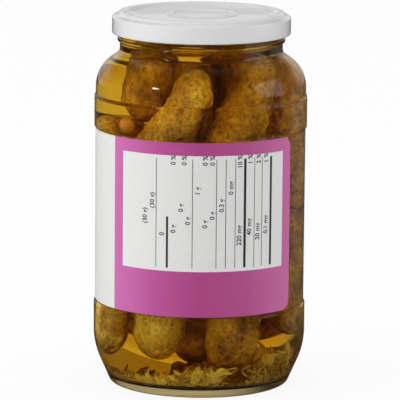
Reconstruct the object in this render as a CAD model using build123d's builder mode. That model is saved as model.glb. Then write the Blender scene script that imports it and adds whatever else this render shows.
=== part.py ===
from build123d import *
import math
import os

# A one-litre pickle jar: a round glass jar with a recessed panel for its label,
# a white twist-off lid, a paper label and the brine inside. Millimetres, +Z up.
# The origin is the centre of the base, on the surface that the jar stands on.
# The side of the label that tells what is inside faces -Y.

# --- Driving dimensions ---------------------------------------------------------

# Glass, outside, in steps from the foot up.
BODY_RADIUS = 50.15  # the two bands that jars touch each other with
FOOT_INSET = 7.95  # from the body in to the corner between foot and heel
FOOT_ROUND = 2.2
BEARING_WIDTH = 6.7  # ring that the jar stands on
BASE_HOLLOW = 1.6  # how far the middle of the underside is raised
BASE_HOLLOW_RUN = 3.0  # slope between the bearing ring and the raised middle
HEEL_HEIGHT = 18.0  # up to the corner between the sloping heel and the body
HEEL_ROUND = 34.0
LOWER_BAND_HEIGHT = 20.2
PANEL_HEIGHT = 84.4
PANEL_DEPTH = 0.65
PANEL_STEP = 0.9  # height of the slope at each end of the panel
UPPER_BAND_HEIGHT = 14.0
SHOULDER_STEP = 0.6  # how far the shoulder lies behind the upper band
SHOULDER_STEP_HEIGHT = 1.4
SHOULDER_RISE = 13.1  # from the upper band to the corner of the shoulder
SHOULDER_ROUND = 16.5
SHOULDER_HEIGHT = 7.7  # from the corner of the shoulder to that of the neck
NECK_INSET = 0.3  # from the finish in to the neck
NECK_ROUND = 3.2
NECK_HEIGHT = 4.6
BEAD_HEIGHT = 3.2  # bead under the lid
BEAD_PROUD = 1.1
BEAD_SLOPE = 0.8
BEAD_ROUND = 0.5
FINISH_RADIUS = 38.6
FINISH_HEIGHT = 10.75  # from the bead to the rim
RIM_ROUND = 1.2

# Thread lugs round the finish.
LUG_COUNT = 6
LUG_PROUD = 1.6
LUG_ARC = 34.0  # degrees
LUG_HEIGHT = 2.6
LUG_TIP_HEIGHT = 1.2
LUG_DROP = 4.4  # from the rim down to a lug
LUG_BITE = 0.5  # how far a lug's root lies inside the wall

# Glass, inside.
WALL = 2.4
NECK_WALL = 2.7
BASE_THICKNESS = 4.2  # at the edge of the inner floor
FLOOR_DOME = 1.2  # rise of the inner floor towards the middle
FLOOR_ROUND = 6.0
INNER_NECK_ROUND = 5.5

# Lid, a pressed sheet with a raised crown ring over the rim.
LID_SHEET = 0.45
LID_HEIGHT = 10.3
LID_CLEARANCE = 1.35  # between the thread lugs and the skirt
CROWN_OVERHANG = 1.0  # how far the crown ring reaches past the rim, in and out
CROWN_HEIGHT = 1.2  # above the lid's flat panel
CROWN_SLOPE_IN = 1.0
CROWN_SLOPE_OUT = 0.7
CROWN_ROUND = 0.5
LEDGE_DROP = 0.15  # from the lid's panel to the foot of the crown ring
LEDGE_SLOPE = 0.75
SKIRT_ROUND = 0.8
BUTTON_RADIUS = 17.9  # ring round the safety button
BUTTON_WIDTH = 4.6
BUTTON_SLOPE = 0.9
BUTTON_RISE = 0.5
BUTTON_DIP = 0.2  # how far the button lies under the panel
BUTTON_ROUND = 0.5
CURL_RADIUS = 0.85  # rolled lower edge of the skirt
LID_LUG_ARC = 15.0  # degrees
LID_LUG_HEIGHT = 1.4
LID_LUG_LIFT = 0.2
LID_LUG_REACH = 2.1  # how far a lid lug reaches in from the skirt

# Label, a sheet round the panel that leaves part of the jar bare.
LABEL_THICKNESS = 0.15
LABEL_MARGIN_BELOW = 1.8
LABEL_MARGIN_ABOVE = 0.9
LABEL_RIGHT_END = 57.4  # degrees, to the right of the side that faces -Y
LABEL_SPAN = 222.0  # degrees
LABEL_CORNER = 5.0
LABEL_CUT_ALONG = 2.3  # slanted upper right corner
LABEL_CUT_DOWN = 4.0

# Brine.
BRINE_DROP = 11.15  # from the rim down to the brine

# --- Derived sizes --------------------------------------------------------------

FOOT_RADIUS = BODY_RADIUS - FOOT_INSET
PANEL_RADIUS = BODY_RADIUS - PANEL_DEPTH
NECK_RADIUS = FINISH_RADIUS - NECK_INSET
SHOULDER_RADIUS = BODY_RADIUS - SHOULDER_STEP
BEAD_RADIUS = NECK_RADIUS + BEAD_PROUD
LUG_RADIUS = FINISH_RADIUS + LUG_PROUD

PANEL_BOTTOM = HEEL_HEIGHT + LOWER_BAND_HEIGHT
PANEL_TOP = PANEL_BOTTOM + PANEL_HEIGHT
UPPER_BAND_TOP = PANEL_TOP + UPPER_BAND_HEIGHT
SHOULDER_Z = UPPER_BAND_TOP + SHOULDER_RISE
NECK_Z = SHOULDER_Z + SHOULDER_HEIGHT
BEAD_Z = NECK_Z + NECK_HEIGHT
FINISH_Z = BEAD_Z + BEAD_HEIGHT
RIM_Z = FINISH_Z + FINISH_HEIGHT
LUG_Z = RIM_Z - LUG_DROP - LUG_HEIGHT

# The cavity runs parallel to the outside, so its corners lie a little lower at
# the shoulder and a little higher at the heel.
HEEL_ANGLE = math.atan2(FOOT_INSET, HEEL_HEIGHT)
SHOULDER_ANGLE = math.atan2(SHOULDER_RADIUS - NECK_RADIUS, SHOULDER_HEIGHT)
INNER_RADIUS = PANEL_RADIUS - WALL
INNER_NECK_RADIUS = FINISH_RADIUS - NECK_WALL
INNER_HEEL_Z = HEEL_HEIGHT + WALL * math.tan(HEEL_ANGLE / 2)
INNER_FOOT_RADIUS = INNER_RADIUS - (INNER_HEEL_Z - BASE_THICKNESS) * math.tan(HEEL_ANGLE)
INNER_SHOULDER_Z = SHOULDER_Z - WALL * math.tan(SHOULDER_ANGLE / 2)
INNER_SHOULDER_WIDTH = INNER_RADIUS - INNER_NECK_RADIUS
INNER_NECK_Z = INNER_SHOULDER_Z + INNER_SHOULDER_WIDTH / math.tan(SHOULDER_ANGLE)
BRINE_Z = RIM_Z - BRINE_DROP

# The underside of the crown ring rests on the rim.
LID_TOP = RIM_Z + LID_SHEET
LID_BOTTOM = LID_TOP - LID_HEIGHT
LID_PANEL_Z = LID_TOP - CROWN_HEIGHT
BUTTON_Z = LID_PANEL_Z - BUTTON_DIP
LEDGE_Z = LID_PANEL_Z - LEDGE_DROP
CROWN_OUTER = FINISH_RADIUS + CROWN_OVERHANG
CROWN_INNER = INNER_NECK_RADIUS - CROWN_OVERHANG
SKIRT_INNER = LUG_RADIUS + LID_CLEARANCE
LID_RADIUS = SKIRT_INNER + LID_SHEET
CURL_CENTRE = (LID_RADIUS - CURL_RADIUS, LID_BOTTOM + CURL_RADIUS)

LABEL_BOTTOM = PANEL_BOTTOM + LABEL_MARGIN_BELOW
LABEL_HEIGHT = PANEL_HEIGHT - LABEL_MARGIN_BELOW - LABEL_MARGIN_ABOVE
FRONT_ANGLE = -90.0  # of the -Y direction, degrees


def round_corners(corners, radius):
    """Round those corners of the current sketch or line that lie at the points."""
    for corner in corners:
        fillet(vertices().sort_by_distance(corner)[0], radius)


# --- Cavity of the jar, shared by the glass and the brine -------------------------

cavity_foot = (INNER_FOOT_RADIUS, BASE_THICKNESS)
cavity_heel = (INNER_RADIUS, INNER_HEEL_Z)
cavity_shoulder = (INNER_RADIUS, INNER_SHOULDER_Z)
cavity_neck = (INNER_NECK_RADIUS, INNER_NECK_Z)

with BuildSketch(Plane.XZ) as cavity:
    with BuildLine():
        inner_floor = ThreePointArc(
            (0, BASE_THICKNESS + FLOOR_DOME),
            (INNER_FOOT_RADIUS / 2, BASE_THICKNESS + 0.75 * FLOOR_DOME),
            cavity_foot,
        )
        Polyline(
            cavity_foot,
            cavity_heel,
            cavity_shoulder,
            cavity_neck,
            (INNER_NECK_RADIUS, RIM_Z),
            (0, RIM_Z),
            inner_floor @ 0,
        )
    make_face()
    round_corners([cavity_foot], FLOOR_ROUND)
    round_corners([cavity_heel], HEEL_ROUND - WALL)
    round_corners([cavity_shoulder], SHOULDER_ROUND - WALL)
    round_corners([cavity_neck], INNER_NECK_ROUND)

# --- Glass jar --------------------------------------------------------------------

foot = (FOOT_RADIUS, 0)
heel = (BODY_RADIUS, HEEL_HEIGHT)
shoulder = (SHOULDER_RADIUS, SHOULDER_Z)
neck = (NECK_RADIUS, NECK_Z)
bead = [(BEAD_RADIUS, BEAD_Z + BEAD_SLOPE), (BEAD_RADIUS, FINISH_Z - BEAD_SLOPE)]

with BuildSketch(Plane.XZ) as glass_section:
    with BuildLine():
        Polyline(
            (0, BASE_HOLLOW),
            (FOOT_RADIUS - BEARING_WIDTH - BASE_HOLLOW_RUN, BASE_HOLLOW),
            (FOOT_RADIUS - BEARING_WIDTH, 0),
            foot,
            heel,
            (BODY_RADIUS, PANEL_BOTTOM),
            (PANEL_RADIUS, PANEL_BOTTOM + PANEL_STEP),
            (PANEL_RADIUS, PANEL_TOP - PANEL_STEP),
            (BODY_RADIUS, PANEL_TOP),
            (BODY_RADIUS, UPPER_BAND_TOP),
            (SHOULDER_RADIUS, UPPER_BAND_TOP + SHOULDER_STEP_HEIGHT),
            shoulder,
            neck,
            (NECK_RADIUS, BEAD_Z),
            *bead,
            (FINISH_RADIUS, FINISH_Z),
            (FINISH_RADIUS, RIM_Z),
            (0, RIM_Z),
            close=True,
        )
    make_face()
    round_corners([foot], FOOT_ROUND)
    round_corners([heel], HEEL_ROUND)
    round_corners([shoulder], SHOULDER_ROUND)
    round_corners([neck], NECK_ROUND)
    round_corners(bead, BEAD_ROUND)
    add(cavity.sketch_local, mode=Mode.SUBTRACT)
    round_corners([(FINISH_RADIUS, RIM_Z), (INNER_NECK_RADIUS, RIM_Z)], RIM_ROUND)

with BuildPart() as thread_lug:
    with BuildSketch(Plane.XZ):
        with BuildLine():
            Polyline(
                (FINISH_RADIUS - LUG_BITE, LUG_Z),
                (LUG_RADIUS, LUG_Z + (LUG_HEIGHT - LUG_TIP_HEIGHT) / 2),
                (LUG_RADIUS, LUG_Z + (LUG_HEIGHT + LUG_TIP_HEIGHT) / 2),
                (FINISH_RADIUS - LUG_BITE, LUG_Z + LUG_HEIGHT),
                close=True,
            )
        make_face()
    revolve(axis=Axis.Z, revolution_arc=LUG_ARC)

with BuildPart() as glass_jar:
    add(glass_section.sketch)
    revolve(axis=Axis.Z)
    with PolarLocations(0, LUG_COUNT):
        add(thread_lug.part)
glass_jar.part.label = "glass_jar"

# --- Lid --------------------------------------------------------------------------

crown = [
    (CROWN_INNER, LID_PANEL_Z),
    (CROWN_INNER + CROWN_SLOPE_IN, LID_TOP),
    (CROWN_OUTER - CROWN_SLOPE_OUT, LID_TOP),
    (CROWN_OUTER, LEDGE_Z),
]
button_ring = [
    (BUTTON_RADIUS - BUTTON_WIDTH, BUTTON_Z),
    (BUTTON_RADIUS - BUTTON_WIDTH + BUTTON_SLOPE, LID_PANEL_Z + BUTTON_RISE),
    (BUTTON_RADIUS - BUTTON_SLOPE, LID_PANEL_Z + BUTTON_RISE),
    (BUTTON_RADIUS, LID_PANEL_Z),
]
skirt_edge = (LID_RADIUS, LEDGE_Z - LEDGE_SLOPE)

with BuildSketch(Plane.XZ) as lid_section:
    with BuildLine():
        Polyline(
            (0, BUTTON_Z),
            *button_ring,
            *crown,
            skirt_edge,
            (LID_RADIUS, LID_BOTTOM + CURL_RADIUS),
        )
        round_corners(button_ring, BUTTON_ROUND)
        round_corners(crown, CROWN_ROUND)
        round_corners([skirt_edge], SKIRT_ROUND)
        offset(amount=LID_SHEET, side=Side.RIGHT, closed=True)
    make_face()
    with Locations(CURL_CENTRE):
        Circle(CURL_RADIUS)

with BuildPart() as lid_lug:
    with BuildSketch(Plane.XZ):
        with Locations((LID_RADIUS - CURL_RADIUS, LID_BOTTOM + LID_LUG_LIFT)):
            Rectangle(
                LID_LUG_REACH - CURL_RADIUS,
                LID_LUG_HEIGHT,
                align=(Align.MAX, Align.MIN),
            )
    revolve(axis=Axis.Z, revolution_arc=LID_LUG_ARC)

with BuildPart() as lid:
    add(lid_section.sketch)
    revolve(axis=Axis.Z)
    with PolarLocations(0, LUG_COUNT, start_angle=LUG_ARC / 2):
        add(lid_lug.part)
lid.part.label = "lid"

# --- Label ------------------------------------------------------------------------

label_top = LABEL_BOTTOM + LABEL_HEIGHT
right_end = FRONT_ANGLE + LABEL_RIGHT_END
left_end = right_end - LABEL_SPAN


def label_end_plane(angle, into_label):
    """Upright plane at an end of the label, with x running into the label."""
    outward = Vector(1, 0, 0).rotate(Axis.Z, angle)
    along = Vector(0, into_label, 0).rotate(Axis.Z, angle)
    return Plane(origin=outward * PANEL_RADIUS, x_dir=along, z_dir=outward * into_label)


with BuildPart() as label:
    with BuildSketch(Plane.XZ.rotated((0, 0, left_end))):
        with Locations((PANEL_RADIUS, LABEL_BOTTOM)):
            Rectangle(LABEL_THICKNESS, LABEL_HEIGHT, align=(Align.MIN, Align.MIN))
    revolve(axis=Axis.Z, revolution_arc=LABEL_SPAN)
    rounded = [
        (label_end_plane(left_end, 1), LABEL_BOTTOM, 1),
        (label_end_plane(left_end, 1), label_top, -1),
        (label_end_plane(right_end, -1), LABEL_BOTTOM, 1),
    ]
    for end_plane, corner_z, inward in rounded:
        with BuildSketch(end_plane):
            with Locations((LABEL_CORNER / 2, corner_z + inward * LABEL_CORNER / 2)):
                Rectangle(LABEL_CORNER, LABEL_CORNER)
            with Locations((LABEL_CORNER, corner_z + inward * LABEL_CORNER)):
                Circle(LABEL_CORNER, mode=Mode.SUBTRACT)
        extrude(amount=LABEL_CORNER, both=True, mode=Mode.SUBTRACT)
    with BuildSketch(label_end_plane(right_end, -1)):
        with BuildLine():
            Polyline(
                (0, label_top),
                (LABEL_CUT_ALONG, label_top),
                (0, label_top - LABEL_CUT_DOWN),
                close=True,
            )
        make_face()
    extrude(amount=LABEL_CORNER, both=True, mode=Mode.SUBTRACT)
label.part.label = "label"

# --- Brine ------------------------------------------------------------------------

with BuildPart() as brine:
    with BuildSketch(Plane.XZ):
        add(cavity.sketch_local)
        Rectangle(
            2 * INNER_RADIUS,
            BRINE_Z,
            align=(Align.CENTER, Align.MIN),
            mode=Mode.INTERSECT,
        )
    revolve(axis=Axis.Z)
brine.part.label = "brine"

# --- Files ------------------------------------------------------------------------

os.makedirs("parts", exist_ok=True)
for piece in (glass_jar, lid, label, brine):
    export_step(piece.part, f"parts/{piece.part.label}.step")
    size = piece.part.bounding_box().size
    print(piece.part.label, round(piece.part.volume), [round(length, 2) for length in size])
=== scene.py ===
"""Pickle jar: fine glass, brine, gherkins, garlic, dill, seeds, lid and printed label.

Lengths of the jar are in millimetres, as on a drawing, and every mesh is written in
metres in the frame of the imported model: +Z up, the label's table towards -Y.
"""

import math
import random

import bmesh
import bpy
import numpy as np
from mathutils import Matrix, Vector, noise


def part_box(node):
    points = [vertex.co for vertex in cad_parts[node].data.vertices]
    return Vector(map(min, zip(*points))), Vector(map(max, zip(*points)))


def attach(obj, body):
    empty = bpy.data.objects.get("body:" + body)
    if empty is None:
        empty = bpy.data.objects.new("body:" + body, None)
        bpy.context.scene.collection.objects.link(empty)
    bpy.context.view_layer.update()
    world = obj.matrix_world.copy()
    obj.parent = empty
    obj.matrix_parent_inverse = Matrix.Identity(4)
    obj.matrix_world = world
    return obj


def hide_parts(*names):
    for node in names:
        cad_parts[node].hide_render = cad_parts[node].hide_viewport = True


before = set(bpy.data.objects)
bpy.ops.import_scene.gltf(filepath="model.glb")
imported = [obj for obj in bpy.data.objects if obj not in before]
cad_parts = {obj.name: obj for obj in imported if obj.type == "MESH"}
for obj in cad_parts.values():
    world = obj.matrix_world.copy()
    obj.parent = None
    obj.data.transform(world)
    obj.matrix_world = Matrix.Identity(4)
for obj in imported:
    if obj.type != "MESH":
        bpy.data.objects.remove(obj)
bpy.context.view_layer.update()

MM = 0.001
BODY = "root"

# --- Sizes of the jar, in millimetres ---------------------------------------------


def in_millimetres(box):
    """Both corners of a box in metres, as vectors in millimetres."""
    return [Vector(corner) / MM for corner in box]


glass_high = in_millimetres(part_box("glass_jar"))[1]
lid_low, lid_high = in_millimetres(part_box("lid"))
label_low, label_high = in_millimetres(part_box("label"))
brine_high = in_millimetres(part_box("brine"))[1]

BODY_RADIUS = 50.12
RIM_Z = glass_high.z
LID_TOP = lid_high.z
LID_BOTTOM = lid_low.z
BRINE_Z = brine_high.z
LABEL_BOTTOM = label_low.z
LABEL_TOP = label_high.z

FOOT_RADIUS = BODY_RADIUS - 7.95
BEARING_WIDTH = 6.7
BASE_HOLLOW = 1.6
HEEL_HEIGHT = 18.0
HEEL_ROUND = 34.0
PANEL_DEPTH = 0.65
PANEL_RADIUS = BODY_RADIUS - PANEL_DEPTH
PANEL_BOTTOM = LABEL_BOTTOM - 1.8
PANEL_TOP = LABEL_TOP + 0.9
PANEL_STEP = 0.9
UPPER_BAND_TOP = PANEL_TOP + 14.0
SHOULDER_RADIUS = BODY_RADIUS - 0.6
SHOULDER_Z = UPPER_BAND_TOP + 13.1
SHOULDER_ROUND = 16.5
NECK_RADIUS = 38.3
NECK_Z = SHOULDER_Z + 7.7
BEAD_Z = NECK_Z + 4.6
BEAD_RADIUS = NECK_RADIUS + 1.1
FINISH_Z = BEAD_Z + 3.2
FINISH_RADIUS = 38.6
WALL = 2.4
NECK_WALL = 2.7
BASE_THICKNESS = 4.2
FLOOR_DOME = 1.2
INNER_RADIUS = PANEL_RADIUS - WALL
INNER_NECK_RADIUS = FINISH_RADIUS - NECK_WALL
MOUTH_LIP = 3.0  # from the rim down to where the inside outline starts
BRINE_REACH = 0.25  # how far the brine reaches into the wall

# Lugs on the jar's finish, and on the lid's curl.
LUG_COUNT = 6
LUG_STEPS = 16  # along each lug
LUG_ARC = 34.0  # degrees
LUG_LOW = RIM_Z - 7.0
LUG_HEIGHT = 2.6
LUG_SLOPE = 0.7
LUG_BITE = 0.5  # how far a lug's root lies inside the wall
LUG_PROUD = 1.58
LID_LUG_ARC = 15.0
LID_LUG_START = LUG_ARC / 2
LID_LUG_LOW = LID_BOTTOM + 0.25
LID_LUG_HIGH = LID_LUG_LOW + 1.35
LID_LUG_REACH = 2.08
LID_LUG_ROOT = 0.9

# The lid: its rounded button, sunk panel, raised crown ring, ledge, skirt and curl.
LID_RADIUS = 42.0
LID_SHEET = 0.45
LID_PANEL_Z = LID_TOP - 1.2
LEDGE_Z = LID_PANEL_Z - 0.15
SKIRT_Z = LEDGE_Z - 0.75
BUTTON_Z = LID_PANEL_Z - 0.2
BUTTON_RING_Z = LID_PANEL_Z + 0.5
CURL = 1.7
CURL_ROUND = 0.84
CURL_END_Z = LID_BOTTOM + 1.75

HEEL_ANGLE = math.atan2(BODY_RADIUS - FOOT_RADIUS, HEEL_HEIGHT)
SHOULDER_ANGLE = math.atan2(SHOULDER_RADIUS - NECK_RADIUS, NECK_Z - SHOULDER_Z)
INNER_HEEL_Z = HEEL_HEIGHT + WALL * math.tan(HEEL_ANGLE / 2)
INNER_FOOT_RADIUS = INNER_RADIUS - (INNER_HEEL_Z - BASE_THICKNESS) * math.tan(HEEL_ANGLE)
INNER_SHOULDER_Z = SHOULDER_Z - WALL * math.tan(SHOULDER_ANGLE / 2)
INNER_NECK_Z = INNER_SHOULDER_Z + (INNER_RADIUS - INNER_NECK_RADIUS) / math.tan(SHOULDER_ANGLE)

# Where the label's fields lie, in degrees to the right of -Y and millimetres up.
LABEL_RIGHT = 57.4
LABEL_LEFT = LABEL_RIGHT - 222.0
LABEL_CORNER = 5.0
LABEL_CUT = (2.3, 4.0)
PAPER_SINK = 0.02
PAPER_THICKNESS = 0.15
PAPER_RADIUS = PANEL_RADIUS + 0.13
DEGREE = math.radians(1) * PANEL_RADIUS  # millimetres round the panel
PRINT_STEP = 0.02  # each layer of print stands this far proud of the one below
MAGENTA_LEFT = -53.0
TABLE_LEFT = -46.0
TABLE_RIGHT = 50.3
TABLE_TOP = LABEL_TOP - 6.0
TABLE_BOTTOM = LABEL_BOTTOM + 21.5

FIGURE_HEIGHT = 3.2
FIGURE_MIDDLE = 0.35  # half a figure's height, as a share of the height
RULE_LOW = TABLE_BOTTOM + 1.6
RULE_HIGH = TABLE_TOP - 1.6
# Rules of the table: degrees to the right, width, lower and upper end.
TABLE_RULES = [
    (-24.0, 0.3, RULE_LOW, RULE_HIGH),
    (-17.7, 1.0, RULE_LOW, RULE_LOW + 24.0),
    (-4.0, 0.3, RULE_LOW, RULE_HIGH),
    (8.8, 0.3, RULE_LOW, RULE_HIGH),
    (13.9, 0.3, RULE_LOW, RULE_HIGH),
    (19.2, 0.3, RULE_LOW, RULE_HIGH),
    (24.7, 1.2, RULE_LOW, RULE_HIGH),
    (30.4, 0.3, RULE_LOW, RULE_HIGH),
    (35.2, 0.3, RULE_LOW, RULE_HIGH),
    (41.2, 1.2, RULE_LOW, RULE_HIGH),
]
# Figures of the table: text, degrees to the right of its middle line, lower end. The
# lines with a percent sign have their upper end there instead.
PERCENT_HIGH = 115.9
TABLE_FIGURES = [
    ("(30 g)", -31.0, 83.0),
    ("(30 g)", -26.5, 90.5),
    ("0", -20.8, 78.0),
    ("0 g", -14.5, 79.5),
    ("0 g", -10.3, 89.5),
    ("0 g", -6.6, 83.5),
    ("1 g", -1.4, 97.5),
    ("0 g", 2.6, 82.0),
    ("0 g", 6.5, 86.0),
    ("0.3 g", 11.5, 89.5),
    ("0 mg", 16.6, 97.5),
    ("220 mg", 21.4, 73.5),
    ("40 mg", 27.2, 78.0),
    ("20 mg", 32.4, 75.5),
    ("0.1 mg", 37.6, 78.0),
    ("0 %", -14.5, PERCENT_HIGH),
    ("0 %", -8.6, PERCENT_HIGH),
    ("0 %", 2.6, PERCENT_HIGH),
    ("0 %", 6.5, PERCENT_HIGH),
    ("10 %", 21.6, PERCENT_HIGH),
    ("1 %", 27.6, PERCENT_HIGH),
    ("2 %", 32.8, PERCENT_HIGH),
    ("1 %", 37.6, PERCENT_HIGH),
]

# Strengths of the light, and directions as sines of the height or as vectors.
ROOM_LIGHT = (0.36, 1.05)  # from the horizon to overhead
ROOM_SPAN = (-0.2, 1.0)
BRINE_LIGHT = (1.0, 3.3)  # in the brine, from the dark side to the bright side
BRINE_SPAN = (-0.5, 0.9)
BRIGHT_SIDE = (-0.7, -0.5, 0.25)
THROUGH_BACK = 0.42  # of the backdrop, seen through the jar
THROUGH_SPAN = (0.35, 0.90)
THROUGH_SIDE = (0.45, 0.85, 0.0)
THROUGH_TINT = (1.0, 0.76, 0.36, 1)
GLOSS_FRONT = 0.04  # of what the glass mirrors, in front and behind
GLOSS_BACK = 0.7
GLOSS_SPAN = (0.50, 0.90)
GLOSS_TOP = (0.22, 0.45, 1.0, 0.05)
BACKDROP_EDGE = 0.126
BACKDROP_SOFT = 0.0004
BELOW_EDGE = 0.72
FLOOR_GLOW = 0.90
FLOOR_WHITE = (0.90, 0.90, 0.90, 1)
FLOOR_MIRRORED = 0.04
FLOOR_SIZE = 2500.0
# The floor seen through the jar: darker in front of the jar and past both sides of a
# wedge that opens behind it. From, to, strength before, strength after.
FLOOR_AHEAD = (-0.02, 0.06, 0.03, 1.0)
WEDGE_TIP = 0.08
WEDGE_LEFT = (-0.75, -0.20, 0.04, 1.0)
WEDGE_RIGHT = (1.0, 2.2, 1.0, 0.10)
AMBER_SHADOW = [  # by the distance from the jar's middle
    (0.036, (0.16, 0.10, 0.03)),
    (0.100, (0.62, 0.40, 0.13)),
    (0.500, (0.90, 0.84, 0.70)),
]
# Lamps: name, place, width, height, watts, and whether the glass mirrors it.
LAMPS = [
    ("side_left", (-1.4, -0.35, 0.5), 0.9, 1.3, 8.0, False),
    ("side_right", (1.3, -0.12, 0.35), 0.9, 1.2, 1.6, True),
    ("spot_left", (-1.1, -0.80, 0.75), 0.16, 0.10, 0.5, True),
]
LAMP_TARGET = (0, 0, 0.09)
CAMERA_PLACE = (0, -1.7, 0.391)
CAMERA_PITCH = 10.156  # degrees down
CAMERA_ROLL = 0.5
CAMERA_LENS = 328.2
CAMERA_SENSOR = 36.0

# --- Mesh tools -------------------------------------------------------------------


def rounded_path(corners, step=0.35):
    """Points along a polyline of (r, z, radius) corners, with tangent arcs."""
    points = []
    for index, (r, z, radius) in enumerate(corners):
        here = Vector((r, z))
        if radius == 0 or index in (0, len(corners) - 1):
            points.append(here)
            continue
        back = (Vector(corners[index - 1][:2]) - here).normalized()
        ahead = (Vector(corners[index + 1][:2]) - here).normalized()
        half = back.angle(ahead) / 2
        tangent = radius / math.tan(half)
        centre = here + (back + ahead).normalized() * radius / math.sin(half)
        start = here + back * tangent - centre
        turn = start.angle_signed(here + ahead * tangent - centre)
        count = max(3, math.ceil(abs(turn) * radius / step))
        for i in range(count + 1):
            angle = -turn * i / count
            spun = Matrix.Rotation(angle, 2) @ start
            points.append(centre + spun)
    return points


def subdivided(points, longest=4.0):
    """The same path with its long straight runs divided."""
    result = [points[0]]
    for start, end in zip(points, points[1:]):
        pieces = max(1, math.ceil((end - start).length / longest))
        result += [start.lerp(end, i / pieces) for i in range(1, pieces + 1)]
    return result


def shifted(points, distance):
    """A path moved sideways by a distance, to the right of its direction."""
    result = []
    for index, point in enumerate(points):
        before = points[max(0, index - 1)]
        after = points[min(len(points) - 1, index + 1)]
        along = (after - before).normalized()
        result.append(point + Vector((along.y, -along.x)) * distance)
    result[0].x = points[0].x
    return result


def new_object(name, vertices, faces, material, smooth=True):
    """A mesh object in metres from vertices in millimetres, riding on the body."""
    mesh = bpy.data.meshes.new(name)
    scaled = (np.asarray(vertices, dtype=float) * MM).tolist()
    mesh.from_pydata(scaled, [], faces)
    mesh.validate()
    mesh.update()
    mesh.shade_smooth() if smooth else mesh.shade_flat()
    thing = bpy.data.objects.new(name, mesh)
    bpy.context.scene.collection.objects.link(thing)
    mesh.materials.append(material)
    return thing


def revolved(name, path, material, segments=192):
    """A closed solid from an outline in (r, z) that starts and ends on the axis."""
    vertices, rings = [], []
    for point in path:
        if abs(point.x) < 1e-6:
            rings.append([len(vertices)] * segments)
            vertices.append((0, 0, point.y))
            continue
        rings.append(list(range(len(vertices), len(vertices) + segments)))
        for i in range(segments):
            angle = 2 * math.pi * i / segments
            vertices.append((point.x * math.cos(angle), point.x * math.sin(angle), point.y))
    faces = []
    for low, high in zip(rings, rings[1:]):
        for i in range(segments):
            j = (i + 1) % segments
            quad = [low[i], low[j], high[j], high[i]]
            face = [v for n, v in enumerate(quad) if v not in quad[:n]]
            if len(face) > 2:
                faces.append(face)
    return new_object(name, vertices, faces, material)


def on_cylinder(degrees_right, radius, z):
    """Point at an angle to the right of -Y, seen from outside."""
    angle = math.radians(degrees_right)
    return (radius * math.sin(angle), -radius * math.cos(angle), z)


def curved_field(name, left, right, edges, radius, thickness, material):
    """A thin closed sheet round the jar; edges(mm from left, mm from right) gives its
    lower and upper height at each place."""
    columns = max(2, math.ceil(abs(right - left)))
    places = [left + (right - left) * i / columns for i in range(columns + 1)]
    if right - left > 30:  # a field with round corners, which need finer columns
        ends = np.linspace(0, 6, 13)
        places = sorted({*places, *(left + ends), *(right - ends)})
    outer = radius + thickness
    vertices, faces = [], []
    for place in places:
        low, high = edges((place - left) * DEGREE, (right - place) * DEGREE)
        for r, z in ((radius, low), (radius, high), (outer, high), (outer, low)):
            vertices.append(on_cylinder(place, r, z))
    for i in range(len(places) - 1):
        a, b = 4 * i, 4 * i + 4
        for k in range(4):
            n = (k + 1) % 4
            faces.append((a + k, a + n, b + n, b + k))
    last = 4 * (len(places) - 1)
    faces += [(0, 3, 2, 1), (last, last + 1, last + 2, last + 3)]
    return new_object(name, vertices, faces, material, smooth=False)


def joined(name, meshes, material):
    """One object from several (vertices, faces, tone) meshes."""
    vertices, faces, tones = [], [], []
    for piece_vertices, piece_faces, tone in meshes:
        first = len(vertices)
        vertices += list(piece_vertices)
        faces += [tuple(first + v for v in face) for face in piece_faces]
        tones += [tone] * len(piece_vertices)
    thing = new_object(name, vertices, faces, material)
    attribute = thing.data.attributes.new("tone", "FLOAT", "POINT")
    attribute.data.foreach_set("value", tones)
    return thing


# --- Materials --------------------------------------------------------------------


def new_material(name):
    """A node material, with its tree and its shader."""
    material = bpy.data.materials.new(name)
    material.use_nodes = True
    tree = material.node_tree
    shader = tree.nodes["Principled BSDF"]
    return material, tree, shader


def node(tree, kind, **inputs):
    """A node with some of its inputs set by name."""
    made = tree.nodes.new(kind)
    for key, value in inputs.items():
        made.inputs[key].default_value = value
    return made


def feed(tree, value, socket):
    """Link a socket to another one, or set it to a plain value."""
    if isinstance(value, bpy.types.NodeSocket):
        tree.links.new(value, socket)
    else:
        socket.default_value = value


def maths(tree, operation, *values, clamp=False):
    """The result of an operation on sockets or numbers."""
    made = tree.nodes.new("ShaderNodeMath")
    made.operation = operation
    made.use_clamp = clamp
    for value, socket in zip(values, made.inputs):
        feed(tree, value, socket)
    return made.outputs[0]


def mix_colours(tree, factor, first, second, blend="MIX"):
    """Two colours mixed by a factor."""
    made = tree.nodes.new("ShaderNodeMix")
    made.data_type = "RGBA"
    made.blend_type = blend
    for name, value in (("Factor", factor), ("A", first), ("B", second)):
        feed(tree, value, made.inputs[name])
    return made.outputs["Result"]


def pick(tree, choice, otherwise, chosen):
    """One of two strengths, by a value that is 0 or 1."""
    made = tree.nodes.new("ShaderNodeMix")
    made.data_type = "FLOAT"
    for name, value in (("Factor", choice), ("A", otherwise), ("B", chosen)):
        feed(tree, value, made.inputs[name])
    return made.outputs["Result"]


def grey(tree, source, low, high, below, above):
    """A value that goes from one strength to another as its source rises."""
    made = tree.nodes.new("ShaderNodeMapRange")
    made.interpolation_type = "SMOOTHSTEP"
    for socket, value in zip(made.inputs, (source, low, high, below, above)):
        feed(tree, value, socket)
    return made.outputs[0]


def facing(tree, direction, aim):
    """How nearly a direction points at an aim, from -1 to 1."""
    made = tree.nodes.new("ShaderNodeVectorMath")
    made.operation = "DOT_PRODUCT"
    made.inputs[1].default_value = Vector(aim).normalized()
    tree.links.new(direction, made.inputs[0])
    return made.outputs["Value"]


def separated(tree, place):
    """The X, Y and Z of a place."""
    made = tree.nodes.new("ShaderNodeSeparateXYZ")
    tree.links.new(place, made.inputs[0])
    return made.outputs


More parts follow.
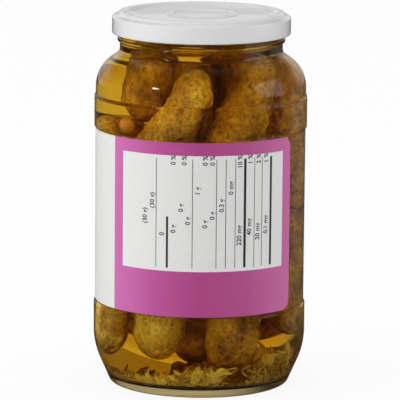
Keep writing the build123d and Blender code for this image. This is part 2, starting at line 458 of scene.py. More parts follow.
def noise_bump(tree, shader, scale, strength, distance, detail=3.0):
    """Fine relief in the shader's normal."""
    place = tree.nodes.new("ShaderNodeTexCoord")
    grain = node(tree, "ShaderNodeTexNoise", Scale=scale, Detail=detail)
    bump = node(tree, "ShaderNodeBump", Strength=strength, Distance=distance)
    tree.links.new(place.outputs["Object"], grain.inputs["Vector"])
    tree.links.new(grain.outputs["Fac"], bump.inputs["Height"])
    tree.links.new(bump.outputs["Normal"], shader.inputs["Normal"])
    return grain


def ramp(tree, source, stops):
    """A colour ramp fed by a socket, from (position, colour) stops."""
    made = tree.nodes.new("ShaderNodeValToRGB")
    elements = made.color_ramp.elements
    while len(elements) < len(stops):
        elements.new(0.5)
    for element, (position, colour) in zip(elements, stops):
        element.position = position
        element.color = (*colour, 1)
    tree.links.new(source, made.inputs["Fac"])
    return made


def glass_material():
    material, tree, shader = new_material("clear_glass")
    shader.inputs["Base Color"].default_value = (0.97, 0.99, 0.98, 1)
    shader.inputs["Roughness"].default_value = 0.0
    shader.inputs["IOR"].default_value = 1.5
    shader.inputs["Transmission Weight"].default_value = 1.0
    noise_bump(tree, shader, 28.0, 0.05, 0.0004, 1.0)
    return material


def brine_material():
    material, tree, shader = new_material("yellow_brine")
    shader.inputs["Base Color"].default_value = (1, 1, 1, 1)
    shader.inputs["Roughness"].default_value = 0.0
    shader.inputs["IOR"].default_value = 1.33
    shader.inputs["Transmission Weight"].default_value = 1.0
    volume = tree.nodes.new("ShaderNodeVolumeAbsorption")
    volume.inputs["Color"].default_value = (0.958, 0.855, 0.30, 1)
    volume.inputs["Density"].default_value = 75.0
    output = tree.nodes["Material Output"]
    tree.links.new(volume.outputs["Volume"], output.inputs["Volume"])
    return material


def gherkin_material():
    material, tree, shader = new_material("gherkin_skin")
    place = tree.nodes.new("ShaderNodeTexCoord")
    tone = tree.nodes.new("ShaderNodeAttribute")
    tone.attribute_name = "tone"
    patches = node(tree, "ShaderNodeTexNoise", Scale=95.0, Detail=5.0, Roughness=0.62)
    specks = node(tree, "ShaderNodeTexNoise", Scale=520.0, Detail=3.0, Roughness=0.6)
    pores = node(tree, "ShaderNodeTexVoronoi", Scale=300.0)
    for texture in (patches, specks, pores):
        tree.links.new(place.outputs["Object"], texture.inputs["Vector"])
    total = maths(tree, "MULTIPLY_ADD", patches.outputs["Fac"], 0.9, tone.outputs["Fac"])
    colours = ramp(
        tree,
        total,
        [
            (0.30, (0.20, 0.070, 0.008)),
            (0.45, (0.48, 0.205, 0.016)),
            (0.58, (0.76, 0.39, 0.030)),
            (0.75, (0.98, 0.68, 0.09)),
        ],
    )
    white = (1, 1, 1)
    dark_specks = [(0.38, (0.42, 0.30, 0.20)), (0.50, white)]
    dark_pores = [(0.10, (0.45, 0.30, 0.20)), (0.28, white)]
    speck_mask = ramp(tree, specks.outputs["Fac"], dark_specks)
    pore_mask = ramp(tree, pores.outputs["Distance"], dark_pores)
    result = colours.outputs["Color"]
    for mask, share in ((speck_mask, 0.55), (pore_mask, 0.75)):
        result = mix_colours(tree, share, result, mask.outputs["Color"], "MULTIPLY")
    tree.links.new(result, shader.inputs["Base Color"])
    shader.inputs["Roughness"].default_value = 0.35
    shader.inputs["Subsurface Weight"].default_value = 0.10
    shader.inputs["Subsurface Radius"].default_value = (0.003, 0.002, 0.001)
    shader.inputs["Subsurface Scale"].default_value = 1.0
    relief = maths(tree, "ADD", specks.outputs["Fac"], pores.outputs["Distance"])
    bump = node(tree, "ShaderNodeBump", Strength=0.8, Distance=0.0009)
    tree.links.new(relief, bump.inputs["Height"])
    tree.links.new(bump.outputs["Normal"], shader.inputs["Normal"])
    return material


def plant_material(name, dark, light, scale=300.0, roughness=0.5):
    """A mottled colour for garlic, stems and seeds."""
    material, tree, shader = new_material(name)
    grain = noise_bump(tree, shader, scale, 0.3, 0.0003)
    tone = tree.nodes.new("ShaderNodeAttribute")
    tone.attribute_name = "tone"
    total = maths(tree, "MULTIPLY_ADD", grain.outputs["Fac"], 0.7, tone.outputs["Fac"])
    colours = ramp(tree, total, [(0.2, dark), (0.8, light)])
    tree.links.new(colours.outputs["Color"], shader.inputs["Base Color"])
    shader.inputs["Roughness"].default_value = roughness
    return material


def print_material(name, colour, other, roughness=0.38):
    """Printed paper: a colour with a slight unevenness and a satin gloss."""
    material, tree, shader = new_material(name)
    grain = noise_bump(tree, shader, 900.0, 0.06, 0.0001)
    colours = ramp(tree, grain.outputs["Fac"], [(0.3, other), (0.7, colour)])
    tree.links.new(colours.outputs["Color"], shader.inputs["Base Color"])
    shader.inputs["Roughness"].default_value = roughness
    return material


def magenta_and_sheen_material():
    """Magenta print with a painted sheen: deepest in the middle of its field, and paler
    towards both ends, where the paler colour is a painted reflection of bright surroundings.
    """
    material = print_material("label_magenta_and_sheen", (1, 1, 1), (0.94, 0.94, 0.94))
    tree = material.node_tree
    shader = tree.nodes["Principled BSDF"]
    grain = shader.inputs["Base Color"].links[0].from_socket
    place = tree.nodes.new("ShaderNodeTexCoord")
    across = separated(tree, place.outputs["Object"])["X"]
    side = maths(tree, "MULTIPLY_ADD", across, 10.0, 0.5)  # 0 to 1 from -50 to 50 mm
    # Painted sheen: the magenta lightens towards both ends to stand in for the bright sides
    # mirrored by the glossy print.
    colours = ramp(
        tree,
        side,
        [
            (0.08, (0.66, 0.17, 0.48)),
            (0.30, (0.52, 0.085, 0.32)),
            (0.50, (0.46, 0.055, 0.25)),
            (0.72, (0.50, 0.080, 0.29)),
            (0.92, (0.64, 0.16, 0.40)),
        ],
    )
    product = mix_colours(tree, 1.0, colours.outputs["Color"], grain, "MULTIPLY")
    tree.links.new(product, shader.inputs["Base Color"])
    return material


def lid_material():
    material, tree, shader = new_material("white_enamel")
    grain = noise_bump(tree, shader, 1500.0, 0.04, 0.0001)
    whites = [(0.3, (0.80, 0.80, 0.80)), (0.7, (0.83, 0.83, 0.83))]
    colours = ramp(tree, grain.outputs["Fac"], whites)
    tree.links.new(colours.outputs["Color"], shader.inputs["Base Color"])
    shader.inputs["Roughness"].default_value = 0.3
    shader.inputs["Coat Weight"].default_value = 1.0
    shader.inputs["Coat Roughness"].default_value = 0.0
    return material


# --- Glass and brine --------------------------------------------------------------


def cavity_path(top):
    """Inner outline of the glass from the middle of its floor up to a height."""
    dome = [
        Vector((INNER_FOOT_RADIUS * i / 8, BASE_THICKNESS + FLOOR_DOME * (1 - (i / 8) ** 2)))
        for i in range(7)
    ]
    wall = rounded_path(
        [
            (*dome[-1], 0),
            (INNER_FOOT_RADIUS, BASE_THICKNESS, 6.0),
            (INNER_RADIUS, INNER_HEEL_Z, HEEL_ROUND - WALL),
            (INNER_RADIUS, INNER_SHOULDER_Z, SHOULDER_ROUND - WALL),
            (INNER_NECK_RADIUS, INNER_NECK_Z, 5.5),
            (INNER_NECK_RADIUS, top, 0),
        ]
    )
    return dome[:-1] + subdivided(wall)


def add_lugs(piece, section, arc, start):
    """Closed lugs, each swept part of the way round the axis from a (r, z) section."""
    mesh = bmesh.new()
    mesh.from_mesh(piece.data)
    for lug in range(LUG_COUNT):
        first = start + 360.0 / LUG_COUNT * lug
        rings = []
        for step in range(LUG_STEPS + 1):
            turn = math.radians(first + arc * step / LUG_STEPS)
            along, across = math.cos(turn) * MM, math.sin(turn) * MM
            ring = [mesh.verts.new((r * along, r * across, z * MM)) for r, z in section]
            rings.append(ring)
        mesh.faces.new(rings[0])
        mesh.faces.new(list(reversed(rings[-1])))
        for one, two in zip(rings, rings[1:]):
            for n, corner in enumerate(one):
                m = (n + 1) % len(one)
                mesh.faces.new((corner, two[n], two[m], one[m]))
    mesh.to_mesh(piece.data)
    mesh.free()


def make_glass():
    outside = rounded_path(
        [
            (0, BASE_HOLLOW, 0),
            (FOOT_RADIUS - BEARING_WIDTH - 3.0, BASE_HOLLOW, 0.8),
            (FOOT_RADIUS - BEARING_WIDTH, 0, 0.8),
            (FOOT_RADIUS, 0, 2.2),
            (BODY_RADIUS, HEEL_HEIGHT, HEEL_ROUND),
            (BODY_RADIUS, PANEL_BOTTOM, 0.6),
            (PANEL_RADIUS, PANEL_BOTTOM + PANEL_STEP, 0.6),
            (PANEL_RADIUS, PANEL_TOP - PANEL_STEP, 0.6),
            (BODY_RADIUS, PANEL_TOP, 0.6),
            (BODY_RADIUS, UPPER_BAND_TOP, 1.5),
            (SHOULDER_RADIUS, UPPER_BAND_TOP + 1.4, 1.5),
            (SHOULDER_RADIUS, SHOULDER_Z, SHOULDER_ROUND),
            (NECK_RADIUS, NECK_Z, 3.2),
            (NECK_RADIUS, BEAD_Z, 0.4),
            (BEAD_RADIUS, BEAD_Z + 0.8, 0.6),
            (BEAD_RADIUS, FINISH_Z - 0.8, 0.6),
            (FINISH_RADIUS, FINISH_Z, 0.4),
            (FINISH_RADIUS, RIM_Z, 1.2),
            (INNER_NECK_RADIUS, RIM_Z, 1.2),
            (INNER_NECK_RADIUS, RIM_Z - MOUTH_LIP, 0),
        ]
    )
    inside = cavity_path(RIM_Z - MOUTH_LIP)
    outline = subdivided(outside) + list(reversed(inside))[1:]
    glass = revolved("glass_shell", outline, glass_material())
    lug = [
        (FINISH_RADIUS - LUG_BITE, LUG_LOW),
        (FINISH_RADIUS + LUG_PROUD, LUG_LOW + LUG_SLOPE),
        (FINISH_RADIUS + LUG_PROUD, LUG_LOW + LUG_HEIGHT - LUG_SLOPE),
        (FINISH_RADIUS - LUG_BITE, LUG_LOW + LUG_HEIGHT),
    ]
    add_lugs(glass, lug, LUG_ARC, 0.0)
    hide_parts("glass_jar")
    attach(glass, BODY)


def make_brine():
    inside = cavity_path(BRINE_Z - 1.0)
    wall = shifted(inside, BRINE_REACH)
    edge = wall[-1].x
    meniscus = [
        Vector((edge, BRINE_Z)),
        Vector((edge - 0.8, BRINE_Z - 0.35)),
        Vector((edge - 2.0, BRINE_Z - 0.7)),
        Vector((edge - 4.0, BRINE_Z - 0.8)),
        Vector((0, BRINE_Z - 0.8)),
    ]
    brine = revolved("brine_fill", wall + meniscus, brine_material())
    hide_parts("brine")
    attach(brine, BODY)


# --- Gherkins ---------------------------------------------------------------------

# Relief of the skin: how fast each kind changes along it, and its height in millimetres.
LUMP_SCALE, LUMP_HEIGHT = 0.11, 0.9
WART_SCALE, WART_HEIGHT, WART_START = 0.34, 1.9, 0.18
PIT_SCALE, PIT_DEPTH, PIT_START = 1.7, 1.2, 0.35
RIB_DEPTH = 0.045  # as a share of the radius


def gherkin(low, high, radius, bend, seed, tone=None):
    """A bumpy gherkin from its low end to its high end; bend is a sideways vector."""
    low, high, bend = Vector(low), Vector(high), Vector(bend)
    rng = random.Random(seed)
    along_count, round_count = ((96, 56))
    length = (high - low).length
    axis = (high - low).normalized()
    side = axis.orthogonal().normalized()
    other = axis.cross(side)
    spin = rng.uniform(0, 6.28)
    ribs = rng.choice((3, 4, 5))
    taper = rng.uniform(0.72, 0.95)
    offset = Vector((rng.uniform(-50, 50), rng.uniform(-50, 50), rng.uniform(-50, 50)))
    vertices, faces = [], []
    for i in range(along_count + 1):
        t = 0.5 - 0.5 * math.cos(math.pi * i / along_count)
        centre = low.lerp(high, t) + bend * (4 * t * (1 - t))
        end = min(t, 1 - t) * length / radius
        cap = math.sqrt(max(0.0, 1 - max(0.0, 1 - end / 1.15) ** 2.2))
        swell = (taper + (1 - taper) * math.sin(math.pi * min(1, t * 1.2 + 0.1))) * cap
        for j in range(round_count):
            angle = 2 * math.pi * j / round_count + spin
            direction = side * math.cos(angle) + other * math.sin(angle)
            rough = centre * LUMP_SCALE + direction * 1.1 + offset
            lumps = LUMP_HEIGHT * noise.noise(rough)
            fold = RIB_DEPTH * math.cos(ribs * angle + 2 * noise.noise(rough * 0.4))
            fine = centre * WART_SCALE + direction * radius * WART_SCALE + offset
            warts = max(0.0, noise.noise(fine) - WART_START) * WART_HEIGHT
            pits = min(0.0, noise.noise(fine * PIT_SCALE) + PIT_START) * PIT_DEPTH
            relief = (lumps + warts + pits) * min(1.0, swell * 1.5)
            r = radius * swell * (1 + fold) + relief
            vertices.append(tuple(centre + direction * max(r, 0.02)))
    for i in range(along_count):
        for j in range(round_count):
            k = (j + 1) % round_count
            a, b = i * round_count, (i + 1) * round_count
            faces.append((a + j, a + k, b + k, b + j))
    faces.append(tuple(reversed(range(round_count))))
    faces.append(tuple(range(along_count * round_count, (along_count + 1) * round_count)))
    return vertices, faces, rng.uniform(0.0, 0.24) if tone is None else tone


# Each gherkin: low end, high end, radius, bend, in millimetres. The first three are
# those that show above the label; the others stand round and behind them.
GHERKINS = [
    ((-23, -17, 129), (-14, 9, 161), 9.8, (0, 0, 0)),
    ((-30, -18, 90), (1, -31, 149), 11.0, (0, -3, 0)),
    ((3, -27, 84), (26, -12, 157), 11.6, (0, -3, 0)),
    ((-34, -8, 78), (-34, 4, 127), 9.8, (0, 0, 0)),
    ((34, 4, 82), (28, 15, 150), 10.8, (0, 0, 0)),
    ((-10, 2, 84), (-4, -2, 150), 11.5, (0, 0, 0)),
    ((18, 8, 84), (8, 14, 160), 11.5, (2, 0, 0)),
    ((-26, 20, 84), (-24, 22, 124), 12.0, (0, 0, 0)),
    ((0, 32, 82), (2, 30, 138), 11.5, (0, 2, 0)),
    ((27, 26, 84), (20, 27, 148), 11.5, (3, 2, 0)),
    ((-37, -9, 16), (-33, -14, 82), 9.8, (-1, 0, 0)),
    ((-18, -25, 17), (-10, -28, 84), 10.8, (0, -2, 0)),
    ((13, -26, 12), (19, -27, 84), 11.4, (0, -1, 0)),
    ((37, -6, 24), (34, -4, 84), 10.4, (1, 0, 0)),
    ((-2, -2, 13), (2, -2, 84), 12.5, (0, 0, 0)),
    ((-33, 16, 18), (-32, 14, 84), 11.6, (-2, 0, 0)),
    ((34, 16, 20), (32, 14, 86), 11.4, (2, 0, 0)),
    ((-13, 31, 16), (-12, 32, 84), 12.0, (0, 1, 0)),
    ((16, 31, 16), (14, 32, 84), 12.0, (0, 1, 0)),
]
TONES = {0: 0.0, 1: 0.10, 2: 0.02, 10: 0.18}  # of those whose tone the front shows


def inside_gherkin(point, margin):
    """Whether a point lies in one of the gherkins, grown by a margin."""
    for low, high, radius, bend in GHERKINS:
        low, high = Vector(low), Vector(high)
        t = max(0.0, min(1.0, (point - low).dot(high - low) / (high - low).length_squared))
        nearest = low.lerp(high, t) + Vector(bend) * 4 * t * (1 - t)
        if (point - nearest).length < radius + margin:
            return True
    return False


def make_gherkins():
    meshes = [
        gherkin(*spec, seed=31 + n, tone=TONES.get(n)) for n, spec in enumerate(GHERKINS)
    ]
    pile = joined("gherkins", meshes, gherkin_material())
    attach(pile, BODY)


# --- Garlic, dill and seeds -------------------------------------------------------

GARLIC_COUNT = 95
STEM_COUNT = 330
SEED_COUNT = 420
HEAP_FLOOR = 6.0
HEAP_LOW = 9.0
HEAP_RISE = 11.0  # of its top, from its lowest place to its highest
BERRY_PLACE = (-31, -22, 126)
BERRY_RADIUS = 3.8


def blob(centre, size, turn, rows, columns, shape):
    """A closed rounded solid; shape(t) is its half-width along its length from 0 to 1."""
    vertices, faces = [], []
    for i in range(rows + 1):
        t = i / rows
        for j in range(columns):
            angle = 2 * math.pi * j / columns
            local = Vector(
                (
                    size[0] * shape(t) * math.cos(angle),
                    size[1] * shape(t) * math.sin(angle),
                    size[2] * (t - 0.5),
                )
            )
            vertices.append(tuple(Vector(centre) + turn @ local))
    for i in range(rows):
        for j in range(columns):
            k = (j + 1) % columns
            a, b = i * columns, (i + 1) * columns
            faces.append((a + j, a + k, b + k, b + j))
    faces.append(tuple(reversed(range(columns))))
    faces.append(tuple(range(rows * columns, (rows + 1) * columns)))
    return vertices, faces


def random_turn(rng):
    """A random rotation."""
    axis = Vector((rng.gauss(0, 1), rng.gauss(0, 1), rng.gauss(0, 1))).normalized()
    return Matrix.Rotation(rng.uniform(0, 2 * math.pi), 3, axis)


def heap_height(degrees):
    """Top of the heap on the floor by azimuth; it rises to the right of the front."""
    rise = (degrees + 20) / 75 if degrees < 100 else (150 - degrees) / 50
    return HEAP_LOW + HEAP_RISE * max(0.0, min(1.0, rise))


def heap_place(rng, low=0.0, front=0.6):
    """A place in the heap, with more of them near the wall at the front."""
    for _ in range(40):
        degrees = rng.uniform(-48, 84) if rng.random() < front else rng.uniform(-180, 180)
        share = rng.uniform(low, 1.0)
        inward = rng.random() ** 2.2
        top = heap_height(degrees) - HEAP_FLOOR
        height = HEAP_FLOOR + top * share * (1 - 0.35 * inward)
        wall = INNER_FOOT_RADIUS - 3.2 + (height - HEAP_FLOOR) * math.tan(HEEL_ANGLE)
        place = Vector(on_cylinder(degrees, wall * (1 - 0.8 * inward), height))
        if not inside_gherkin(place, 0.5):
            break
    return place


def kept_inside(vertices):
    """Vertices moved in from the wall and up from the floor where they reach past it."""
    result = []
    for x, y, z in vertices:
        radius = math.hypot(x, y)
        z = max(z, 5.9)
        limit = INNER_FOOT_RADIUS - 1.6 + max(0, z - 7) * math.tan(HEEL_ANGLE)
        squeeze = min(1.0, limit / max(radius, 1e-6))
        result.append((x * squeeze, y * squeeze, z))
    return result


def curled(vertices, columns, rows, bend):
    """A long solid bent along its length."""
    result = []
    for index, vertex in enumerate(vertices):
        t = min(rows, index // columns) / rows
        result.append(tuple(Vector(vertex) + bend * 4 * t * (1 - t)))
    return result


def make_garlic():
    rng = random.Random(5)
    meshes = []

    def petal(t):
        return math.sin(math.pi * t) ** 0.75 * (1.35 - 0.95 * t) + 0.01

    for _ in range(GARLIC_COUNT):
        centre = heap_place(rng, low=0.55, front=0.75)
        size = (rng.uniform(1.7, 3.0), rng.uniform(0.5, 0.9), rng.uniform(6.0, 10.5))
        roll = Matrix.Rotation(rng.gauss(0, 0.9), 3, "Y")
        lean = roll @ Matrix.Rotation(rng.gauss(0, 0.5), 3, "X")
        outward = math.atan2(centre.x, -centre.y) + rng.gauss(0, 0.6)
        turn = Matrix.Rotation(outward, 3, "Z") @ lean
        vertices, faces = blob(centre, size, turn, 14, 12, petal)
        bend = turn @ Vector((rng.uniform(-1.5, 1.5), rng.uniform(-2.5, 2.5), 0))
        vertices = kept_inside(curled(vertices, 12, 14, bend))
        meshes.append((vertices, faces, rng.uniform(0.0, 0.3)))
    material = plant_material("garlic", (0.90, 0.50, 0.03), (1.0, 0.80, 0.12), 200.0, 0.4)
    slivers = joined("garlic_slivers", meshes, material)
    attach(slivers, BODY)


def make_stems():
    rng = random.Random(9)
    meshes = []

    def rod(t):
        return 1.0 - 0.5 * abs(2 * t - 1) ** 3

    for _ in range(STEM_COUNT):
        centre = heap_place(rng)
        thick = rng.uniform(0.35, 0.95)
        size = (thick, thick * rng.uniform(0.6, 1.0), rng.uniform(5, 14))
        tilt = Matrix.Rotation(rng.gauss(math.pi / 2, 0.5), 3, "X")
        turn = Matrix.Rotation(rng.uniform(0, 2 * math.pi), 3, "Z") @ tilt
        vertices, faces = blob(centre, size, turn, 10, 7, rod)
        bend = Vector((rng.uniform(-3, 3), rng.uniform(-3, 3), rng.uniform(-1.5, 2)))
        vertices = kept_inside(curled(vertices, 7, 10, bend))
        meshes.append((vertices, faces, rng.uniform(0.0, 0.3)))
    material = plant_material("dill_stems", (0.50, 0.24, 0.03), (1.0, 0.62, 0.08))
    stems = joined("dill_stems", meshes, material)
    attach(stems, BODY)


def make_seeds():
    rng = random.Random(14)
    meshes = []

    def ball(t):
        return math.sqrt(max(0.0, 1 - (2 * t - 1) ** 2)) + 0.01

    for _ in range(SEED_COUNT):
        centre = heap_place(rng, front=0.5)
        centre.z = min(centre.z, 6.2 + abs(rng.gauss(0, 1.8)))
        wide = rng.uniform(0.5, 1.1)
        size = (wide, wide, wide * 2)
        vertices, faces = blob(centre, size, random_turn(rng), 7, 8, ball)
        meshes.append((kept_inside(vertices), faces, rng.uniform(0.0, 0.35)))
    material = plant_material("mustard_seeds", (0.50, 0.24, 0.02), (0.90, 0.62, 0.10))
    seeds = joined("seeds", meshes, material)
    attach(seeds, BODY)
    size = (BERRY_RADIUS, BERRY_RADIUS, BERRY_RADIUS * 2)
    vertices, faces = blob(BERRY_PLACE, size, random_turn(rng), 24, 28, ball)
    berry = joined(
        "orange_berry",
        [(vertices, faces, 0.2)],
        plant_material("berry_skin", (0.70, 0.22, 0.02), (0.85, 0.38, 0.04), 150.0, 0.35),
    )
    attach(berry, BODY)


# --- Lid --------------------------------------------------------------------------


def make_lid():
    top = rounded_path(
        [
            (0, BUTTON_Z, 0),
            (13.3, BUTTON_Z, 0.6),
            (14.2, BUTTON_RING_Z, 0.6),
            (17.0, BUTTON_RING_Z, 0.8),
            (17.9, LID_PANEL_Z, 0.8),
            (34.9, LID_PANEL_Z, 0.9),
            (35.9, LID_TOP, 0.7),
            (38.9, LID_TOP, 0.7),
            (39.6, LEDGE_Z, 0.6),
            (LID_RADIUS, SKIRT_Z, 0.9),
            (LID_RADIUS, LID_BOTTOM, CURL_ROUND),
            (LID_RADIUS - CURL, LID_BOTTOM, CURL_ROUND),
            (LID_RADIUS - CURL, LID_BOTTOM + CURL, CURL_ROUND),
            (LID_RADIUS - LID_SHEET, CURL_END_Z, 0),
        ],
        step=0.15,
    )
    under = rounded_path(
        [
            (0, BUTTON_Z - LID_SHEET, 0),
            (13.6, BUTTON_Z - LID_SHEET, 0.5),
            (14.5, BUTTON_RING_Z - LID_SHEET, 0.5),
            (16.7, BUTTON_RING_Z - LID_SHEET, 0.5),
            (17.6, LID_PANEL_Z - LID_SHEET, 0.5),
            (35.2, LID_PANEL_Z - LID_SHEET, 0.5),
            (36.2, LID_TOP - LID_SHEET, 0.4),
            (38.6, LID_TOP - LID_SHEET, 0.4),
            (39.2, LEDGE_Z - LID_SHEET, 0.5),
            (LID_RADIUS - LID_SHEET, SKIRT_Z - LID_SHEET, 0.5),
            (LID_RADIUS - LID_SHEET, CURL_END_Z, 0),
        ],
        step=0.3,
    )
    outline = subdivided(top, 3.0) + subdivided(list(reversed(under)), 3.0)[1:]
    lid = revolved("lid_shell", outline, lid_material(), segments=256)
    tip, root = LID_RADIUS - LID_LUG_REACH, LID_RADIUS - LID_LUG_ROOT
    lug = [
        (tip, LID_LUG_LOW),
        (root, LID_LUG_LOW),
        (root, LID_LUG_HIGH),
        (tip, LID_LUG_HIGH),
    ]
    add_lugs(lid, lug, LID_LUG_ARC, LID_LUG_START)
    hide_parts("lid")
    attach(lid, BODY)


# --- Label ------------------------------------------------------------------------


def label_edges(from_left, from_right):
    """Lower and upper edge of the paper, with three round corners and a slanted one."""
    low, high = LABEL_BOTTOM, LABEL_TOP
    for distance, both in ((from_left, True), (from_right, False)):
        if distance < LABEL_CORNER:
            inset = LABEL_CORNER - max(0.0, distance)
            rise = LABEL_CORNER - math.sqrt(LABEL_CORNER**2 - inset**2)
            low = max(low, LABEL_BOTTOM + rise)
            if both:
                high = min(high, LABEL_TOP - rise)
    if from_right < LABEL_CUT[0]:
        high = min(high, LABEL_TOP - LABEL_CUT[1] * (1 - from_right / LABEL_CUT[0]))
    return low, high


def plain_edges(low, high):
    """Straight edges for a field."""
    return lambda from_left, from_right: (low, high)


def magenta_edges(from_left, from_right):
    """The magenta field reaches the paper's edges on its right."""
    past_corners = 100.0
    return label_edges(past_corners, from_right)


def table_text(text, place, baseline_low, height, radius, name):
    """Figures that read upwards: place is where their baseline is, in degrees to the
    right, and baseline_low its lower end, or its upper end with a percent sign."""
    curve = bpy.data.curves.new(name, "FONT")
    curve.body = text
    curve.size = 1.0
    curve.resolution_u = 3
    curve.extrude = 0.5
    curve.offset = 0.018
    shape = bpy.data.objects.new(name, curve)
    bpy.context.scene.collection.objects.link(shape)
    bpy.context.view_layer.update()
    mesh = bpy.data.meshes.new_from_object(shape)
    bpy.data.objects.remove(shape)
    bpy.data.curves.remove(curve)
    solid = bmesh.new()
    solid.from_mesh(mesh)
    bmesh.ops.remove_doubles(solid, verts=solid.verts, dist=1e-4)
    solid.to_mesh(mesh)
    solid.free()
    vertices = []
    if text.endswith("%"):
        baseline_low -= height * max(vertex.co.x for vertex in mesh.vertices)
    for vertex in mesh.vertices:
        along, up = vertex.co.x * height, vertex.co.y * height
        proud = radius + PRINT_STEP * (vertex.co.z + 0.5)
        vertices.append(on_cylinder(place - up / DEGREE, proud, baseline_low + along))
    faces = [tuple(polygon.vertices) for polygon in mesh.polygons]
    bpy.data.meshes.remove(mesh)
    return vertices, faces, 0.0


def make_label():
    white = print_material("label_white", (0.80, 0.80, 0.79), (0.77, 0.77, 0.76))
    magenta = magenta_and_sheen_material()
    black = print_material("label_black", (0.03, 0.03, 0.03), (0.02, 0.02, 0.02))
    layers = [PAPER_RADIUS + PRINT_STEP * n for n in range(3)]
    thick = PRINT_STEP

    paper = curved_field(
        "label_paper",
        LABEL_LEFT,
        LABEL_RIGHT,
        label_edges,
        PANEL_RADIUS - PAPER_SINK,
        PAPER_THICKNESS,
        white,
    )
    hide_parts("label")
    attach(paper, BODY)
    field = curved_field(
        "label_magenta_field",
        MAGENTA_LEFT,
        LABEL_RIGHT,
        magenta_edges,
        layers[0],
        thick,
        magenta,
    )
    table = curved_field(
        "label_table",
        TABLE_LEFT,
        TABLE_RIGHT,
        plain_edges(TABLE_BOTTOM, TABLE_TOP),
        layers[1],
        thick,
        white,
    )
    print_meshes = []
    for place, width, low, high in TABLE_RULES:
        half = width / DEGREE / 2
        edges = plain_edges(low, high)
        rule = curved_field(
            "rule", place - half, place + half, edges, layers[2], thick, black
        )
        mesh = rule.data
        corners = [tuple(vertex.co / MM) for vertex in mesh.vertices]
        print_meshes.append((corners, [tuple(face.vertices) for face in mesh.polygons], 0.0))
        bpy.data.objects.remove(rule)
    for text, place, low in TABLE_FIGURES:
        baseline = place + FIGURE_HEIGHT * FIGURE_MIDDLE / DEGREE
        print_meshes.append(
            table_text(text, baseline, low, FIGURE_HEIGHT, layers[2], text)
        )
    print_piece = joined("label_table_print", print_meshes, black)
    print_piece.data.shade_flat()
    for piece in (field, table, print_piece):
        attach(piece, BODY)


# --- Stage, light and camera ------------------------------------------------------


def floor_material():
    """White; through the jar it shows the jar's amber shadow, and in front of the jar
    it is too dark for the glass to mirror it."""
    material, tree, shader = new_material("floor_white")
    place = tree.nodes.new("ShaderNodeTexCoord").outputs["Object"]
    distance = tree.nodes.new("ShaderNodeVectorMath")
    distance.operation = "LENGTH"
    tree.links.new(place, distance.inputs[0])
    shadow = ramp(tree, distance.outputs["Value"], AMBER_SHADOW)
    parts = separated(tree, place)
    ahead = grey(tree, parts["Y"], *FLOOR_AHEAD)
    reach = maths(tree, "ADD", parts["Y"], WEDGE_TIP)
    slope = maths(tree, "DIVIDE", parts["X"], reach)
    left_end = grey(tree, slope, *WEDGE_LEFT)
    right_end = grey(tree, slope, *WEDGE_RIGHT)
    behind = maths(tree, "MULTIPLY", ahead, maths(tree, "MULTIPLY", left_end, right_end))
    path = tree.nodes.new("ShaderNodeLightPath").outputs
    is_glossy, is_through = path["Is Glossy Ray"], path["Is Transmission Ray"]
    direct = maths(tree, "LESS_THAN", path["Diffuse Depth"], 0.5)
    bounced = maths(tree, "MAXIMUM", is_glossy, is_through)
    level = pick(tree, maths(tree, "MULTIPLY", bounced, direct), 1.0, behind)
    mirror = maths(tree, "SUBTRACT", is_glossy, is_through, clamp=True)
    level = pick(tree, mirror, level, FLOOR_MIRRORED)
    colour = mix_colours(tree, is_through, FLOOR_WHITE, shadow.outputs["Color"])
    scaled = tree.nodes.new("ShaderNodeVectorMath")
    scaled.operation = "SCALE"
    tree.links.new(colour, scaled.inputs[0])
    tree.links.new(level, scaled.inputs["Scale"])
    tree.links.new(scaled.outputs[0], shader.inputs["Base Color"])
    shader.inputs["Roughness"].default_value = 0.9
    shader.inputs["Specular IOR Level"].default_value = 0.0
    glow = tree.nodes.new("ShaderNodeEmission")
    share = maths(tree, "MULTIPLY", path["Is Camera Ray"], FLOOR_GLOW)
    mix = tree.nodes.new("ShaderNodeMixShader")
    tree.links.new(share, mix.inputs[0])
    tree.links.new(shader.outputs["BSDF"], mix.inputs[1])
    tree.links.new(glow.outputs["Emission"], mix.inputs[2])
    tree.links.new(mix.outputs[0], tree.nodes["Material Output"].inputs["Surface"])
    return material


def make_floor():
    size = FLOOR_SIZE
    corners = [(-size, -size, 0), (size, -size, 0), (size, size, 0), (-size, size, 0)]
    floor = new_object("floor", corners, [(0, 1, 2, 3)], floor_material(), smooth=False)


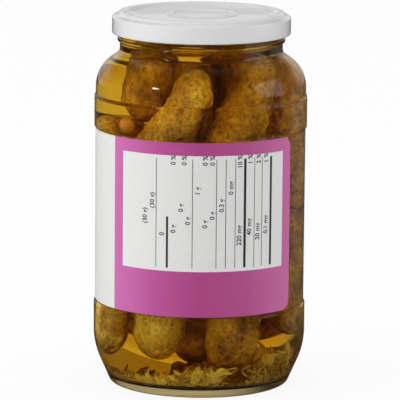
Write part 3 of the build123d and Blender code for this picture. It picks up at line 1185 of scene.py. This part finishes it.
def make_world():
    """White behind and beside the jar, dark round the camera, as in a studio. A ray that
    goes straight through the jar sees a dimmed and tinted backdrop, and one that leaves
    something in the brine sees the light that falls on it."""
    world = bpy.data.worlds.new("studio")
    bpy.context.scene.world = world
    world.use_nodes = True
    tree = world.node_tree
    path = tree.nodes.new("ShaderNodeLightPath").outputs
    place = tree.nodes.new("ShaderNodeTexCoord").outputs["Generated"]
    parts = separated(tree, place)
    back = grey(tree, parts["Y"], *GLOSS_SPAN, GLOSS_FRONT, GLOSS_BACK)
    edge = (BACKDROP_EDGE - BACKDROP_SOFT, BACKDROP_EDGE + BACKDROP_SOFT)
    horizon = grey(tree, parts["Z"], *edge, BELOW_EDGE, 1.0)
    low = grey(tree, parts["Z"], *GLOSS_TOP)
    mirrored = maths(tree, "MULTIPLY", maths(tree, "MULTIPLY", back, horizon), low)
    room = grey(tree, parts["Z"], *ROOM_SPAN, *ROOM_LIGHT)
    strength = pick(tree, path["Is Glossy Ray"], room, mirrored)
    inner = maths(tree, "MINIMUM", path["Diffuse Depth"], 1.0)
    right = facing(tree, place, THROUGH_SIDE)
    behind = grey(tree, right, *THROUGH_SPAN, GLOSS_FRONT, THROUGH_BACK)
    bright = facing(tree, place, BRIGHT_SIDE)
    lighting = grey(tree, bright, *BRINE_SPAN, *BRINE_LIGHT)
    through = pick(tree, inner, behind, lighting)
    strength = pick(tree, path["Is Transmission Ray"], strength, through)
    strength = pick(tree, path["Is Camera Ray"], strength, 1.0)
    direct = maths(tree, "SUBTRACT", path["Is Transmission Ray"], inner, clamp=True)
    tint = mix_colours(tree, direct, (1, 1, 1, 1), THROUGH_TINT)
    background = tree.nodes["Background"]
    tree.links.new(tint, background.inputs["Color"])
    tree.links.new(strength, background.inputs["Strength"])


def area_light(name, place, width, height, power, seen):
    """A soft rectangular lamp; one that isn't seen has no reflection."""
    lamp = bpy.data.lights.new(name, "AREA")
    lamp.shape = "RECTANGLE"
    lamp.size, lamp.size_y = width, height
    lamp.energy = power
    thing = bpy.data.objects.new(name, lamp)
    bpy.context.scene.collection.objects.link(thing)
    thing.location = place
    direction = Vector(LAMP_TARGET) - Vector(place)
    thing.rotation_euler = direction.to_track_quat("-Z", "Y").to_euler()
    thing.visible_glossy = seen
    thing.visible_transmission = seen


def make_lights():
    for lamp in LAMPS:
        area_light(*lamp)


def make_camera():
    camera = bpy.data.cameras.new("camera")
    camera.sensor_width = CAMERA_SENSOR
    camera.lens = CAMERA_LENS
    thing = bpy.data.objects.new("camera", camera)
    bpy.context.scene.collection.objects.link(thing)
    tilt = Matrix.Rotation(math.pi / 2 - math.radians(CAMERA_PITCH), 4, "X")
    roll = Matrix.Rotation(math.radians(CAMERA_ROLL), 4, "Z")
    thing.matrix_world = Matrix.Translation(CAMERA_PLACE) @ tilt @ roll
    bpy.context.scene.camera = thing


make_glass()
make_brine()
make_gherkins()
make_garlic()
make_stems()
make_seeds()
make_lid()
make_label()
make_floor()
make_world()
make_lights()
make_camera()
scene = bpy.context.scene
scene.view_settings.view_transform = "Standard"
scene.cycles.max_bounces = 24
scene.cycles.transmission_bounces = 20
scene.cycles.glossy_bounces = 8
scene.cycles.diffuse_bounces = 4
